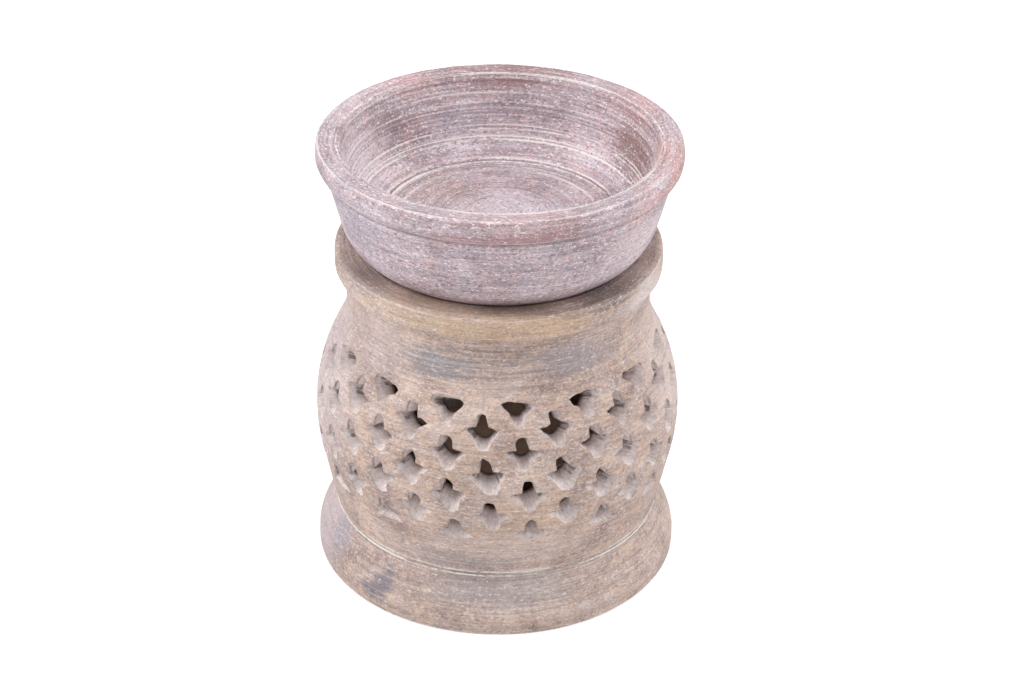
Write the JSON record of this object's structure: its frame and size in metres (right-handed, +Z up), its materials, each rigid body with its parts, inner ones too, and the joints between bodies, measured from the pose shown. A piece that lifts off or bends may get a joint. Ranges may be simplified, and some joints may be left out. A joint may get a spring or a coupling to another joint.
{
  "type": "essential oil burner",
  "caption": "Turned soapstone oil burner: hollow ball-shaped body with carved lattice, cemented to a plinth, with a loose oil bowl on top and a tealight inside.",
  "frame": {"origin": "middle of the plinth's underside, on the surface that the burner stands on", "axes": "+Z up along the turned axis; the pictured front faces -Y, and +X is to its right"},
  "size_m": [0.0816, 0.0816, 0.1],
  "materials": {
    "plinth_stone": "matte soapstone",
    "cement": "matte",
    "body_stone": "matte soapstone",
    "bowl_stone": "matte soapstone",
    "cup_metal": "bright rolled foil",
    "wax": "waxy",
    "clip_metal": "tinned sheet",
    "wick_cotton": "braided cotton"
  },
  "bodies": {
    "burner": {"plinth": "plinth_stone", "cement_joint": "cement", "lattice_body": "body_stone"},
    "bowl": {"oil_bowl": "bowl_stone"},
    "tealight": {"tealight_cup": "cup_metal", "tealight_wax": "wax", "wick_clip": "clip_metal", "tealight_wick": "wick_cotton"}
  },
  "joints": [
    {"name": "bowl_lift", "type": "slide", "parent": "burner", "child": "bowl", "axis": [0, 0, 1], "range_m": [0, 0.12]},
    {"name": "tealight_lift", "type": "slide", "parent": "burner", "child": "tealight", "axis": [0, 0, 1], "range_m": [0, 0.072]}
  ],
  "couplings": [
    {"joint": "tealight_lift", "follows": "bowl_lift", "ratio": 0.6}
  ]
}
